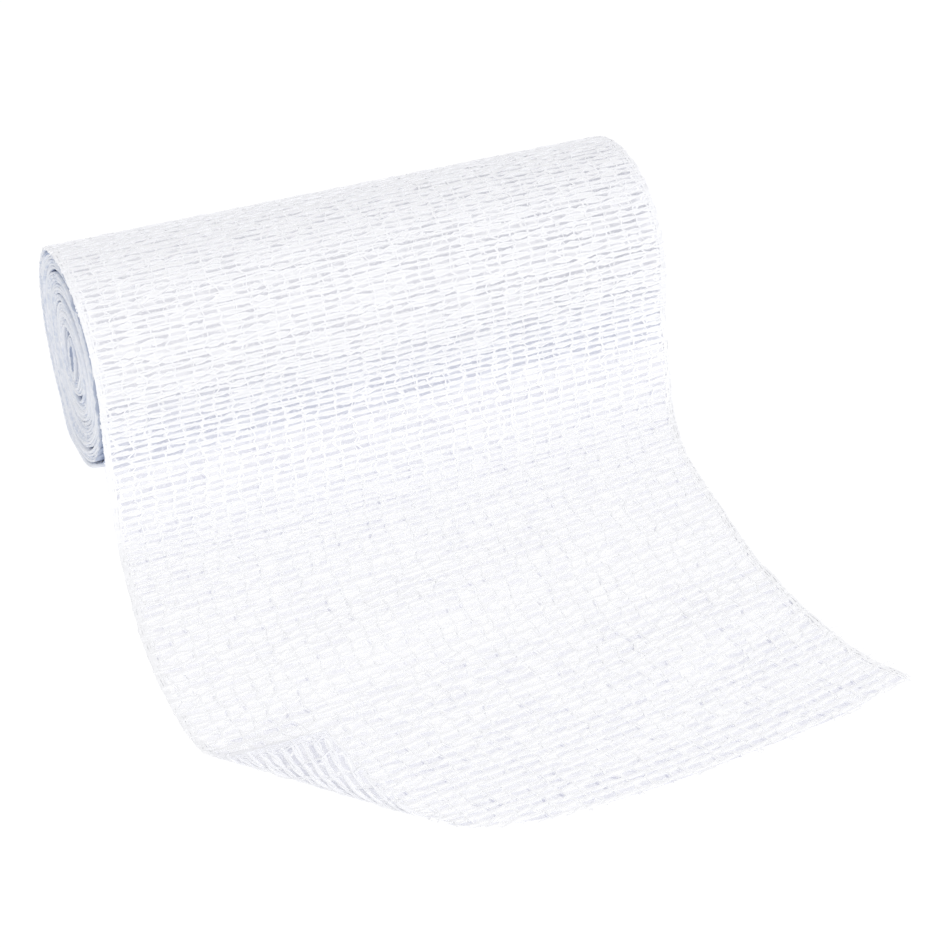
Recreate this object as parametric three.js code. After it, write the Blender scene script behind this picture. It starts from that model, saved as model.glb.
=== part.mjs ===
// Elastic gauze bandage, wound on itself without a core, with its loose end drawn out.
// The strip is woven of cotton and stretch yarn, cut to length and rolled up. Its outermost turn parts from
// the roll behind the top, comes down the front, turns on to the surface and lies there, one corner turned up.
// Units are millimetres and +Z is up. X runs along the roll, and the loose end is drawn out towards -Y.
// The origin lies on the surface, in the middle of the roll's flat spot.
import * as THREE from 'three';

// The strip and the roll that it is wound into.
const cloth = { thickness: 1.1, clearance: 0.3 };
const roll = {
  radius: 18.9,
  halfLength: 50.2,
  flatDepth: 0.35,
  ovalHeight: 0.22,
  ovalAngle: 62,
  lumpHeight: 0.1,
  lumpAngle: 20,
  waveHeight: 0.1,
  segments: 58,
};
const axisHeight = roll.radius - roll.flatDepth;

// Where the outermost turn parts from the roll, in degrees from the front up over the top.
// Past tuckedTo the windings lie in under it, and below evenedBelow its own unevenness fades out.
const parting = {
  angle: 118,
  stepAngle: 1,
  endGapAngle: 1.1,
  tuckedFrom: 270,
  tuckedTo: 318,
  looseness: 1.05,
  evenedBelow: 30,
};
const coverDepth = cloth.clearance + cloth.thickness + roll.waveHeight;

// The windings at each end face: the outermost turn stands proud, and wider gaps run in a spiral to an eye.
const windings = {
  rimShare: 0.95,
  rimBevelShare: 0.04,
  rimStep: 0.6,
  pitch: 4.7,
  gapShare: 0.2,
  gapDepth: 0.9,
  wander: 0.13,
  rings: 18,
  leftPhase: 0.3,
  rightPhase: 0.75,
};
const eye = { halfThickness: 1.0, halfHeight: 2.9, depth: 2.4, lean: 8 };

// Stations along the roll as shares of its half length, with how far the windings there stand in or out.
const rollStations = [
  { share: -1, out: -0.3 },
  { share: -0.97, out: 0 },
  { share: -0.55, out: 0.08 },
  { share: -0.1, out: -0.05 },
  { share: 0.35, out: 0.1 },
  { share: 0.72, out: -0.02 },
  { share: 0.97, out: 0.04 },
  { share: 1, out: -0.28 },
];

// The drop from the roll's front to the surface: the reach of a soft bend and how stiffly its ends hold on.
const drop = { reach: 14, hold: 0.62, rows: 11 };
const wrapRows = 19;
const lyingRows = 22;
const dropStart = new THREE.Vector2(-(roll.radius - cloth.thickness / 2 + parting.looseness), axisHeight);
const landing = new THREE.Vector2(dropStart.x - drop.reach, cloth.thickness / 2);
const dropCurve = new THREE.CubicBezierCurve(
  dropStart,
  new THREE.Vector2(dropStart.x, dropStart.y * (1 - drop.hold)),
  new THREE.Vector2(landing.x + drop.hold * drop.reach, landing.y),
  landing,
);
const dropLength = dropCurve.getLength();

// The selvedges, by the length of cloth from the roll's front: the left and right edge's place across.
const selvedges = [
  { along: -50, left: -50.3, right: 50.3 },
  { along: 0, left: -50.2, right: 50.3 },
  { along: 14, left: -50.9, right: 50.0 },
  { along: 24, left: -52.3, right: 46.6 },
  { along: 34, left: -53.8, right: 43.2 },
  { along: 50, left: -55.6, right: 40.8 },
  { along: 66, left: -55.8, right: 39.1 },
  { along: 80, left: -53.9, right: 39.4 },
  { along: 94, left: -50.6, right: 41.4 },
  { along: 108, left: -47.5, right: 47.0 },
];

// The cut end: how far along the cloth reaches at each share of its width.
const cutEnd = [
  { across: 0, along: 95.4 },
  { across: 0.15, along: 101.0 },
  { across: 0.3, along: 104.8 },
  { across: 0.45, along: 105.9 },
  { across: 0.65, along: 104.9 },
  { across: 0.85, along: 103.1 },
  { across: 1, along: 100.3 },
];

// The turned-up corner: a bend along a slanting line, of one radius, and the flat rest of the corner beyond.
const curl = { x: -39.9, y: -92.3, outward: 223, radius: 4.7, turn: 150 };

// Low swells where the lying cloth stands off the surface, each with its centre, heading, sizes and height.
const swells = [
  { x: -12, y: -62, heading: 14, halfLength: 46, halfWidth: 11, height: 0.9 },
  { x: 22, y: -86, heading: 20, halfLength: 26, halfWidth: 8, height: 0.7 },
];

// Shares across the loose end where its columns of points lie, closer together at the turned-up corner.
const fineColumns = { count: 14, share: 0.36 };
const wideColumns = 11;

const radians = THREE.MathUtils.degToRad;

// A value read from a table by a smooth curve through its rows.
function fromTable(rows, key, column, at) {
  const last = rows.length - 1;
  let low = 0;
  while (low < last - 1 && at > rows[low + 1][key]) low += 1;
  const slope = (i) => {
    const before = rows[Math.max(i - 1, 0)];
    const after = rows[Math.min(i + 1, last)];
    return (after[column] - before[column]) / (after[key] - before[key]);
  };
  const span = rows[low + 1][key] - rows[low][key];
  const t = THREE.MathUtils.clamp((at - rows[low][key]) / span, 0, 1);
  const rise = t * t * (3 - 2 * t);
  const startPull = t * (1 - t) * (1 - t) * span * slope(low);
  const endPull = t * t * (1 - t) * span * slope(low + 1);
  return rows[low][column] * (1 - rise) + rows[low + 1][column] * rise + startPull - endPull;
}

// How far the wound section is from a true circle at an angle.
function unevenness(angle) {
  const oval = roll.ovalHeight * Math.cos(2 * radians(angle - roll.ovalAngle));
  const lump = roll.lumpHeight * Math.cos(3 * radians(angle - roll.lumpAngle));
  return oval + lump;
}

// The share of the cover's depth by which the windings lie in under the outermost turn. The angle runs once
// round from the parting.
function coverShare(angle) {
  return THREE.MathUtils.smoothstep(angle, parting.tuckedFrom, parting.tuckedTo);
}

// A point of the wound section, held up by the surface along the flat spot.
function woundPoint(angle, share, out) {
  const radius = (roll.radius + unevenness(angle) - coverDepth * coverShare(angle) + out) * share;
  const y = -radius * Math.cos(radians(angle));
  const z = radius * Math.sin(radians(angle));
  return new THREE.Vector2(y, Math.max(z, -axisHeight * share));
}

// How deep an end face lies in at a place on it: behind the rim, in the spiral gaps and in the eye.
function endDepth(angle, share, point, phase) {
  const rimFoot = windings.rimShare - windings.rimBevelShare;
  const behindRim = 1 - THREE.MathUtils.smoothstep(share, rimFoot, windings.rimShare);
  const wander = windings.wander * Math.sin(2 * radians(angle) + phase);
  const turns = (share * roll.radius) / windings.pitch + angle / 360 + wander + phase;
  const fromGap = Math.abs(turns - Math.round(turns)) / windings.gapShare;
  const gap = Math.max(0, 1 - fromGap) * Math.min(1, 2 * share);
  const lean = radians(eye.lean);
  const across = point.x * Math.cos(lean) + point.y * Math.sin(lean);
  const up = point.y * Math.cos(lean) - point.x * Math.sin(lean);
  const fromEye = Math.hypot(across / eye.halfThickness, up / eye.halfHeight);
  const hollow = eye.depth * Math.max(0, 1 - fromEye * fromEye);
  return behindRim * (windings.rimStep + windings.gapDepth * gap) + hollow;
}

// The angles of the wound section's points, from just behind the parting once round to the parting itself.
function sectionAngles() {
  const first = parting.angle + parting.stepAngle;
  const sweep = 360 - parting.stepAngle;
  return Array.from({ length: roll.segments }, (_, i) => first + (sweep * i) / (roll.segments - 1));
}

// The roll's rings, from the middle of the left end to its rim, along the roll and in to the right end's middle.
function rollRings() {
  const angles = sectionAngles();
  const endRing = (side, share, out, phase) => angles.map((angle) => {
    const point = woundPoint(angle, share, out);
    const x = side * (roll.halfLength - endDepth(angle, share, point, phase));
    return new THREE.Vector3(x, point.x, axisHeight + point.y);
  });
  const shares = Array.from({ length: windings.rings }, (_, i) => (i + 1) / windings.rings);
  const [first, last] = [rollStations[0], rollStations[rollStations.length - 1]];
  const left = shares.map((share) => endRing(-1, share, first.out, windings.leftPhase));
  const right = shares.map((share) => endRing(1, share, last.out, windings.rightPhase)).reverse();
  const along = rollStations.slice(1, -1).map((station) => angles.map((angle) => {
    const point = woundPoint(angle, 1, station.out);
    return new THREE.Vector3(station.share * roll.halfLength, point.x, axisHeight + point.y);
  }));
  return [...left, ...along, ...right];
}

// A closed body from rings of points, drawn to a middle point at each end.
function ringBody(rings, startMiddle, endMiddle) {
  const count = rings[0].length;
  const points = [...rings.flat(), startMiddle, endMiddle];
  const start = points.length - 2;
  const end = points.length - 1;
  const faces = [];
  for (let i = 0; i < count; i += 1) {
    const next = (i + 1) % count;
    faces.push(start, i, next);
    for (let ring = 0; ring < rings.length - 1; ring += 1) {
      const a = ring * count;
      const b = a + count;
      faces.push(a + i, b + next, a + next);
      faces.push(a + i, b + i, b + next);
    }
    const rim = (rings.length - 1) * count;
    faces.push(end, rim + next, rim + i);
  }
  return bodyGeometry(points, faces);
}

// A geometry from points and faces.
function bodyGeometry(points, faces) {
  const geometry = new THREE.BufferGeometry();
  geometry.setAttribute('position', new THREE.Float32BufferAttribute(points.flatMap((p) => p.toArray()), 3));
  geometry.setIndex(faces);
  geometry.computeVertexNormals();
  return geometry;
}

// The height of the low swells at a place on the surface.
function swellHeight(x, y) {
  let height = 0;
  for (const swell of swells) {
    const heading = radians(swell.heading);
    const lengthwise = (x - swell.x) * Math.cos(heading) + (y - swell.y) * Math.sin(heading);
    const sideways = (y - swell.y) * Math.cos(heading) - (x - swell.x) * Math.sin(heading);
    const away = Math.hypot(lengthwise / swell.halfLength, sideways / swell.halfWidth);
    height += swell.height * (1 - THREE.MathUtils.smoothstep(away, 0, 1));
  }
  return height;
}

// Turns a place on the lying cloth up where it lies beyond the corner's bending line.
function turnedUp(x, y) {
  const outward = radians(curl.outward);
  const turn = radians(curl.turn);
  const beyond = (x - curl.x) * Math.cos(outward) + (y - curl.y) * Math.sin(outward);
  if (beyond <= 0) return new THREE.Vector3(x, y, swellHeight(x, y));
  const bent = Math.min(beyond, curl.radius * turn);
  const angle = bent / curl.radius;
  const rest = beyond - bent;
  const out = curl.radius * Math.sin(angle) + rest * Math.cos(angle) - beyond;
  const height = curl.radius * (1 - Math.cos(angle)) + rest * Math.sin(angle);
  return new THREE.Vector3(x + out * Math.cos(outward), y + out * Math.sin(outward), height);
}

// The place across the cloth, at a length along it and a share of its width.
function acrossAt(along, share) {
  const left = fromTable(selvedges, 'along', 'left', along);
  const right = fromTable(selvedges, 'along', 'right', along);
  return THREE.MathUtils.lerp(left, right, share);
}

// The loose end's middle surface as rows of points: round the roll, down the drop and out over the surface.
function looseRows(shares) {
  const rows = [];
  const wrapEnd = parting.angle - parting.endGapAngle;
  for (let i = 0; i < wrapRows; i += 1) {
    const angle = wrapEnd * (1 - i / wrapRows);
    const loose = parting.looseness * (1 - THREE.MathUtils.smoothstep(angle, 0, parting.angle));
    const uneven = unevenness(angle) * Math.min(1, angle / parting.evenedBelow);
    const radius = roll.radius + uneven - cloth.thickness / 2 + loose;
    const along = -radius * radians(angle);
    const y = -radius * Math.cos(radians(angle));
    const z = axisHeight + radius * Math.sin(radians(angle));
    rows.push(shares.map((share) => new THREE.Vector3(acrossAt(along, share), y, z)));
  }
  for (let i = 0; i < drop.rows; i += 1) {
    const point = dropCurve.getPointAt(i / drop.rows);
    const along = (dropLength * i) / drop.rows;
    rows.push(shares.map((share) => new THREE.Vector3(acrossAt(along, share), point.x, point.y)));
  }
  for (let i = 0; i <= lyingRows; i += 1) {
    rows.push(shares.map((share) => {
      const reach = fromTable(cutEnd, 'across', 'along', share) - dropLength;
      const out = (reach * i) / lyingRows;
      const place = turnedUp(acrossAt(dropLength + out, share), landing.x - out);
      place.z += cloth.thickness / 2;
      return place;
    }));
  }
  return rows;
}

// A closed sheet of the cloth's thickness from rows of points on its middle surface.
function sheetBody(rows) {
  const columns = rows[0].length;
  const last = rows.length - 1;
  const outward = rows.map((row, i) => row.map((_, j) => {
    const [before, after] = [rows[Math.max(i - 1, 0)][j], rows[Math.min(i + 1, last)][j]];
    const [leftOf, rightOf] = [row[Math.max(j - 1, 0)], row[Math.min(j + 1, columns - 1)]];
    const lengthwise = after.clone().sub(before);
    const sideways = rightOf.clone().sub(leftOf);
    return sideways.cross(lengthwise).normalize().multiplyScalar(-cloth.thickness / 2);
  }));
  const side = (sign) => rows.flatMap((row, i) => row.map((point, j) => {
    const moved = point.clone().addScaledVector(outward[i][j], sign);
    moved.z = Math.max(moved.z, 0);
    return moved;
  }));
  const points = [...side(1), ...side(-1)];
  const under = rows.length * columns;
  const faces = [];
  const quad = (a, b, c, d) => faces.push(a, b, c, a, c, d);
  for (let i = 0; i < last; i += 1) {
    for (let j = 0; j < columns - 1; j += 1) {
      const a = i * columns + j;
      quad(a, a + columns, a + columns + 1, a + 1);
      quad(under + a, under + a + 1, under + a + columns + 1, under + a + columns);
    }
    const left = i * columns;
    const right = left + columns - 1;
    quad(left, under + left, under + left + columns, left + columns);
    quad(right, right + columns, under + right + columns, under + right);
  }
  for (let j = 0; j < columns - 1; j += 1) {
    const end = last * columns + j;
    quad(j, j + 1, under + j + 1, under + j);
    quad(end, under + end, under + end + 1, end + 1);
  }
  return bodyGeometry(points, faces);
}

// The wound roll.
function woundRoll() {
  const eyeMiddle = roll.halfLength - windings.rimStep - eye.depth;
  const start = new THREE.Vector3(-eyeMiddle, 0, axisHeight);
  const end = new THREE.Vector3(eyeMiddle, 0, axisHeight);
  const material = new THREE.MeshStandardMaterial({ color: 0xdfe2ec, roughness: 0.95, metalness: 0 });
  const mesh = new THREE.Mesh(ringBody(rollRings(), start, end), material);
  mesh.name = 'wound_roll';
  return mesh;
}

// The loose end of the strip.
function looseEnd() {
  const { count, share } = fineColumns;
  const fine = Array.from({ length: count }, (_, j) => (share * j) / count);
  const wide = Array.from({ length: wideColumns + 1 }, (_, j) => share + ((1 - share) * j) / wideColumns);
  const material = new THREE.MeshStandardMaterial({ color: 0xf1f2f8, roughness: 0.95, metalness: 0 });
  const mesh = new THREE.Mesh(sheetBody(looseRows([...fine, ...wide])), material);
  mesh.name = 'loose_end';
  return mesh;
}

const bandage = new THREE.Group();
bandage.add(woundRoll(), looseEnd());

export default bandage;
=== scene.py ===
# An elastic gauze bandage, wound on itself without a core, with its loose end drawn out and lying flat.
# The sections below follow the strip from the middle of the roll out to its cut end.
# Sizes are in millimetres, as a weaver gives them, and each mesh is turned to metres as it is made.
import math

import bpy
import numpy as np
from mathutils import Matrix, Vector


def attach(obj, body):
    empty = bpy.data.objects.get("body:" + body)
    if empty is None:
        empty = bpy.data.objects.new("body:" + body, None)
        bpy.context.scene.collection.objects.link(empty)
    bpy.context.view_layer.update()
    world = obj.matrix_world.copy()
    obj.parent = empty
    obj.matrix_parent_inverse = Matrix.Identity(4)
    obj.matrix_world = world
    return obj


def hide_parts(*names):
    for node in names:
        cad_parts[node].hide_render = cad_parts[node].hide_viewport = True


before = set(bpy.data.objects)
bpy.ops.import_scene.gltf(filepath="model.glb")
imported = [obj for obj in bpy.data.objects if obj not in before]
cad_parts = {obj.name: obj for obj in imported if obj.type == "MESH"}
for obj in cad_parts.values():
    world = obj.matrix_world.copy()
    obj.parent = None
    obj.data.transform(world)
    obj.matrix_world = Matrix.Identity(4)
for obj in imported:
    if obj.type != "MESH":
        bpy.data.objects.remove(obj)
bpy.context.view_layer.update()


# The windings: the inner turns of the strip, pressed into one body that is nearly round.
# They are layer on layer of white gauze, and show grey and soft through the open weave of the outermost turn.
# The roll holds by its own grip and stands on a small flat spot.
MILLIMETRE = 0.001
CLOTH_HALF = 0.45
ROLL_RADIUS = 18.9
ROLL_HALF_LENGTH = 50.2
FLAT_DEPTH = 0.35
AXIS_HEIGHT = ROLL_RADIUS - FLAT_DEPTH
OVAL_HEIGHT, OVAL_ANGLE = 0.22, 62
LUMP_HEIGHT, LUMP_ANGLE = 0.1, 20
PARTING_ANGLE = 118
TUCK_DEPTH = 0.8
TUCKED_FROM, TUCKED_TO = 340, 476

TURN_WEFTS = 110
WARP_COLUMNS = 35
BODY_BELOW = 0.54
BODY_SEGMENTS = 120
BODY_STATIONS = 70
BODY_END_DEPTH = 2.6
BODY_END_RINGS = 8
SUNK_DEPTH, SUNK_REACH, SUNK_ANGLE = 1.2, 4.4, 28
EYE_DEPTH = 7
# The windings are painted in deep shade this near to their ends and to their axis.
DARK_BY_END, DARK_IN_EYE = (0.4, 0.1), (4, 6)
# The windings' cells are painted in a pale grey shade, for the shade between their layers.
CELL_SHADE, CELL_WHITE, YARN_WHITE = (0.9, 0.9, 0.935), (0.95, 0.952, 0.96), (0.96, 0.962, 0.968)
DEEP_SHADE, SHADED_COTTON = (0.42, 0.48, 0.62), (0.77, 0.79, 0.86)
# The loose end's shade fades out over these heights and towards the back.
SHADE_HEIGHTS, SHADE_BACK = (9, 17), (-8, 0)


def smooth_step(value, low, high):
    """0 below low, 1 above high and a soft rise between them."""
    t = np.clip((value - low) / (high - low), 0, 1)
    return t * t * (3 - 2 * t)


def unevenness(angle):
    """How far the wound section is from a true circle, at an angle from the front up over the top."""
    oval = OVAL_HEIGHT * np.cos(2 * np.radians(angle - OVAL_ANGLE))
    lump = LUMP_HEIGHT * np.cos(3 * np.radians(angle - LUMP_ANGLE))
    return oval + lump


def tuck(turn):
    """How far the outermost wound turn lies in under the loose end, by an angle counted on past the front."""
    return TUCK_DEPTH * smooth_step(turn, TUCKED_FROM, TUCKED_TO)


def sunk(angle, inward):
    """How much farther in a turn's edge lies beside the loose end, by its distance from the rim."""
    return SUNK_DEPTH * smooth_step(SUNK_REACH * np.cos(np.radians(angle - SUNK_ANGLE)) - inward, -0.3, 0.3)


def wound_radius(angle):
    """The radius of the outermost wound turn's outside, from the parting once round to the parting again."""
    turn = np.mod(angle - PARTING_ANGLE, 360) + PARTING_ANGLE
    return ROLL_RADIUS + unevenness(turn) - tuck(turn)


def round_roll(x, angle, radius, lowest):
    """Points on the roll at a radius, pressed flat where they would be lower than lowest."""
    y = -radius * np.cos(np.radians(angle))
    z = AXIS_HEIGHT + radius * np.sin(np.radians(angle))
    return np.stack(np.broadcast_arrays(x, y, np.maximum(z, lowest)), axis=-1)


def outward(angle):
    """The directions straight out of the roll at an angle."""
    turn = np.radians(angle)
    return np.stack([0 * turn, -np.cos(turn), np.sin(turn)], axis=-1)


def mesh_piece(name, points, loops, places, material, sizes=None):
    """A smooth mesh from points, corner indices and each corner's place in the weave. Its faces have four
    corners, unless their sizes are given."""
    sizes = np.full(len(loops) // 4, 4) if sizes is None else sizes
    mesh = bpy.data.meshes.new(name)
    flat_points = (np.asarray(points).reshape(-1, 3) * MILLIMETRE).ravel()
    mesh.vertices.add(len(flat_points) // 3)
    mesh.vertices.foreach_set("co", flat_points)
    mesh.loops.add(len(loops))
    mesh.loops.foreach_set("vertex_index", loops)
    mesh.polygons.add(len(sizes))
    mesh.polygons.foreach_set("loop_start", np.concatenate([[0], np.cumsum(sizes)[:-1]]))
    mesh.polygons.foreach_set("use_smooth", np.ones(len(sizes), dtype=bool))
    mesh.update(calc_edges=True)
    mesh.uv_layers.new(name="weave")
    mesh.uv_layers["weave"].uv.foreach_set("vector", np.asarray(places).reshape(-1, 2).ravel())
    mesh.materials.append(material)
    piece = bpy.data.objects.new(name, mesh)
    bpy.context.collection.objects.link(piece)
    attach(piece, "root")
    return piece


def grid_corners(rows, columns):
    """The row and column of each corner of the four-cornered faces between rows and columns of points."""
    row, column = np.meshgrid(np.arange(rows - 1), np.arange(columns - 1), indexing="ij")
    corner_rows = np.stack([row, row + 1, row + 1, row], axis=-1)
    corner_columns = np.stack([column, column, column + 1, column + 1], axis=-1)
    return corner_rows.ravel(), corner_columns.ravel()


def add_node(tree, kind, sources, **settings):
    """A shader node with its settings, fed by sockets or plain values."""
    node = tree.nodes.new("ShaderNode" + kind)
    for setting, value in settings.items():
        setattr(node, setting, value)
    for place, source in sources.items():
        if isinstance(source, bpy.types.NodeSocket):
            tree.links.new(source, node.inputs[place])
        else:
            node.inputs[place].default_value = source
    return node


def maths(tree, operation, first, second=0.0, third=0.0):
    """The result of a Math node."""
    return add_node(tree, "Math", {0: first, 1: second, 2: third}, operation=operation).outputs[0]


def between(tree, value, low, high, to_low=0.0, to_high=1.0):
    """The value mapped smoothly from one range to another."""
    sources = {"Value": value, "From Min": low, "From Max": high, "To Min": to_low, "To Max": to_high}
    return add_node(tree, "MapRange", sources, interpolation_type="SMOOTHSTEP").outputs[0]


def mixed(tree, share, *colours):
    """A colour between two colours."""
    first, second = (c if isinstance(c, bpy.types.NodeSocket) else (*c, 1) for c in colours)
    return add_node(tree, "Mix", {0: share, 6: first, 7: second}, data_type="RGBA").outputs[2]


def shader_group(name, inputs, outputs):
    """An empty node group with named sockets, its tree, its input node and its output node."""
    tree = bpy.data.node_groups.new(name, "ShaderNodeTree")
    for socket, kind in inputs.items():
        tree.interface.new_socket(name=socket, in_out="INPUT", socket_type="NodeSocket" + kind)
    for socket, kind in outputs.items():
        tree.interface.new_socket(name=socket, in_out="OUTPUT", socket_type="NodeSocket" + kind)
    return tree, tree.nodes.new("NodeGroupInput").outputs, tree.nodes.new("NodeGroupOutput").inputs


def cloth_material(name, colour, roughness):
    """A matte cloth material, its node tree and its main shader."""
    material = bpy.data.materials.new(name)
    material.use_nodes = True
    shader = material.node_tree.nodes["Principled BSDF"]
    shader.inputs["Base Color"].default_value = (*colour, 1)
    shader.inputs["Roughness"].default_value = roughness
    shader.inputs["Specular IOR Level"].default_value = 0.2
    return material, material.node_tree, shader


def noise(tree, place, scale, detail=2.0):
    """A soft random value that changes from place to place."""
    return add_node(tree, "TexNoise", {"Vector": place, "Scale": scale, "Detail": detail}).outputs[0]


def parts_of(tree, place):
    """The three parts of a place."""
    return add_node(tree, "SeparateXYZ", {0: place}).outputs


def weave_place(tree):
    """The place in the weave that the piece's mesh gives."""
    return add_node(tree, "UVMap", {}, uv_map="weave").outputs[0]


def millimetres(tree):
    """How far a place is to the right, to the back and up, in millimetres."""
    place = add_node(tree, "TexCoord", {}).outputs["Object"]
    scaled = add_node(tree, "VectorMath", {0: place, "Scale": 1 / MILLIMETRE}, operation="SCALE")
    return parts_of(tree, scaled.outputs[0])


def from_roll_axis(tree, y, z):
    """How far a place is from the roll's axis, and how far above it."""
    above = maths(tree, "SUBTRACT", z, AXIS_HEIGHT)
    return maths(tree, "SQRT", maths(tree, "MULTIPLY_ADD", above, above, maths(tree, "POWER", y, 2.0))), above


def bumped(tree, shader, height, strength, distance):
    """Gives a shader a relief from a height."""
    bump = add_node(tree, "Bump", {"Height": height, "Strength": strength, "Distance": distance})
    tree.links.new(bump.outputs[0], shader.inputs["Normal"])


def shade_under_loose_end(tree):
    """How far a place lies in the loose end's shade, low on the roll and in front of its axis."""
    _, y, z = millimetres(tree)
    low = between(tree, z, *SHADE_HEIGHTS, 1.0, 0.0)
    return maths(tree, "MULTIPLY", low, between(tree, y, *SHADE_BACK, 1.0, 0.0))


# The open weave as a pattern: how much of a yarn lies at a place, and how full of fine fibres each cell is.
# The place counts pairs of lengthwise yarns across and crosswise threads along.
tree, weave_in, weave_out = shader_group(
    "open_weave",
    {"Place": "Vector", "Weft Width": "Float", "Warp Width": "Float"},
    {"Yarn": "Float", "Cell": "Float"},
)
weave_group = tree
ripple = noise(tree, weave_in["Place"], 0.9, 3.0)
fine = noise(tree, weave_in["Place"], 5.0)
place = parts_of(tree, weave_in["Place"])
stray = maths(tree, "MULTIPLY_ADD", maths(tree, "SUBTRACT", fine, 0.5), 0.35, place[1])
gap_number = maths(tree, "FLOOR", place[1])
gap_chance = add_node(tree, "TexWhiteNoise", {"W": gap_number}, noise_dimensions="1D").outputs[0]
slide = maths(tree, "MULTIPLY_ADD", maths(tree, "SUBTRACT", gap_chance, 0.5), 0.5, place[0])
sway = maths(tree, "MULTIPLY_ADD", maths(tree, "SUBTRACT", ripple, 0.5), 0.9, slide)
from_weft = maths(tree, "PINGPONG", stray, 0.5)
from_warp = maths(tree, "PINGPONG", maths(tree, "ADD", sway, 0.5), 0.5)
weft_edge = maths(tree, "ADD", weave_in["Weft Width"], 0.2)
warp_edge = maths(tree, "ADD", weave_in["Warp Width"], 0.07)
weft_mask = between(tree, from_weft, weave_in["Weft Width"], weft_edge, 1.0, 0.0)
warp_mask = between(tree, from_warp, weave_in["Warp Width"], warp_edge, 1.0, 0.0)
column_number = maths(tree, "FLOOR", maths(tree, "ADD", sway, 0.5))
cell_place = add_node(tree, "CombineXYZ", {0: column_number, 1: gap_number}).outputs[0]
cell_chance = add_node(tree, "TexWhiteNoise", {"Vector": cell_place}).outputs[0]
shown_warp = maths(tree, "MULTIPLY", warp_mask, between(tree, cell_chance, 0.1, 0.5, 0.3, 1.0))
row_and_cell = maths(tree, "MULTIPLY_ADD", gap_chance, 0.4, maths(tree, "MULTIPLY", cell_chance, 0.6))
cell_light = between(tree, row_and_cell, 0.1, 0.75)
cell_tone = maths(tree, "MULTIPLY", cell_light, between(tree, ripple, 0.3, 0.6, 0.3, 1.0))
crossing_fibres = between(tree, fine, 0.52, 0.64, 0.0, 0.7)
tree.links.new(maths(tree, "MAXIMUM", weft_mask, shown_warp), weave_out["Yarn"])
tree.links.new(maths(tree, "MAXIMUM", cell_tone, crossing_fibres), weave_out["Cell"])


def woven(tree, weft_width, warp_width):
    """The open weave on a piece, with the widths of its threads."""
    sources = {"Place": weave_place(tree), "Weft Width": weft_width, "Warp Width": warp_width}
    return add_node(tree, "Group", sources, node_tree=weave_group).outputs


body_half = ROLL_HALF_LENGTH - BODY_END_DEPTH
windings_cloth, tree, shader = cloth_material("windings_gauze", YARN_WHITE, 0.95)
weave = woven(tree, 0.16, 0.05)
# Painted shade in the cells between the yarns.
cell_colour = mixed(tree, weave["Cell"], CELL_SHADE, CELL_WHITE)
wound_colour = mixed(tree, weave["Yarn"], cell_colour, YARN_WHITE)
wound_colour = mixed(tree, shade_under_loose_end(tree), wound_colour, SHADED_COTTON)
x, y, z = millimetres(tree)
# Painted deep shade at the body's ends and in its eye.
at_end = between(tree, maths(tree, "ABSOLUTE", x), body_half - DARK_BY_END[0], body_half - DARK_BY_END[1])
in_eye = between(tree, from_roll_axis(tree, y, z)[0], *DARK_IN_EYE, 1.0, 0.0)
wound_colour = mixed(tree, maths(tree, "MAXIMUM", at_end, in_eye), wound_colour, DEEP_SHADE)
tree.links.new(wound_colour, shader.inputs["Base Color"])
bumped(tree, shader, weave["Yarn"], 0.6, 0.0003)

body_angles = PARTING_ANGLE + 1 + 360 * np.arange(BODY_SEGMENTS) / BODY_SEGMENTS
body_radius = wound_radius(body_angles) - BODY_BELOW
end_shares = (np.arange(BODY_END_RINGS) + 1) / BODY_END_RINGS
ring_shares = np.concatenate([end_shares[:-1], np.ones(BODY_STATIONS), end_shares[-2::-1]])
inner = np.full(BODY_END_RINGS - 1, body_half)
ring_x = np.concatenate([-inner, np.linspace(-body_half, body_half, BODY_STATIONS), inner])
ring_radii = ring_shares[:, None] * body_radius
body_rings = round_roll(ring_x[:, None], body_angles, ring_radii, 0.5)
eye_bottoms = [[-body_half + EYE_DEPTH, 0, AXIS_HEIGHT], [body_half - EYE_DEPTH, 0, AXIS_HEIGHT]]
body_points = np.concatenate([body_rings.reshape(-1, 3), eye_bottoms])
ring_rows, ring_columns = grid_corners(len(ring_x), BODY_SEGMENTS + 1)
body_loops = ring_rows * BODY_SEGMENTS + ring_columns % BODY_SEGMENTS
columns_on_roll = (ring_x / ROLL_HALF_LENGTH * ring_shares + 1) / 2 * WARP_COLUMNS
body_places = np.stack([columns_on_roll[ring_rows], ring_columns * TURN_WEFTS / BODY_SEGMENTS], axis=-1)
around = np.arange(BODY_SEGMENTS)
ahead = (around + 1) % BODY_SEGMENTS
bottom = np.full(BODY_SEGMENTS, len(body_points) - 2)
last_ring = (len(ring_x) - 1) * BODY_SEGMENTS
left_fan = np.stack([bottom, around, ahead], axis=-1).ravel()
right_fan = np.stack([bottom + 1, last_ring + ahead, last_ring + around], axis=-1).ravel()
windings = mesh_piece(
    "windings",
    body_points,
    np.concatenate([body_loops, left_fan, right_fan]),
    np.concatenate([body_places, np.zeros((6 * BODY_SEGMENTS, 2))]),
    windings_cloth,
    [4] * (len(body_loops) // 4) + [3] * (2 * BODY_SEGMENTS),
)
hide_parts("wound_roll")


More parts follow.
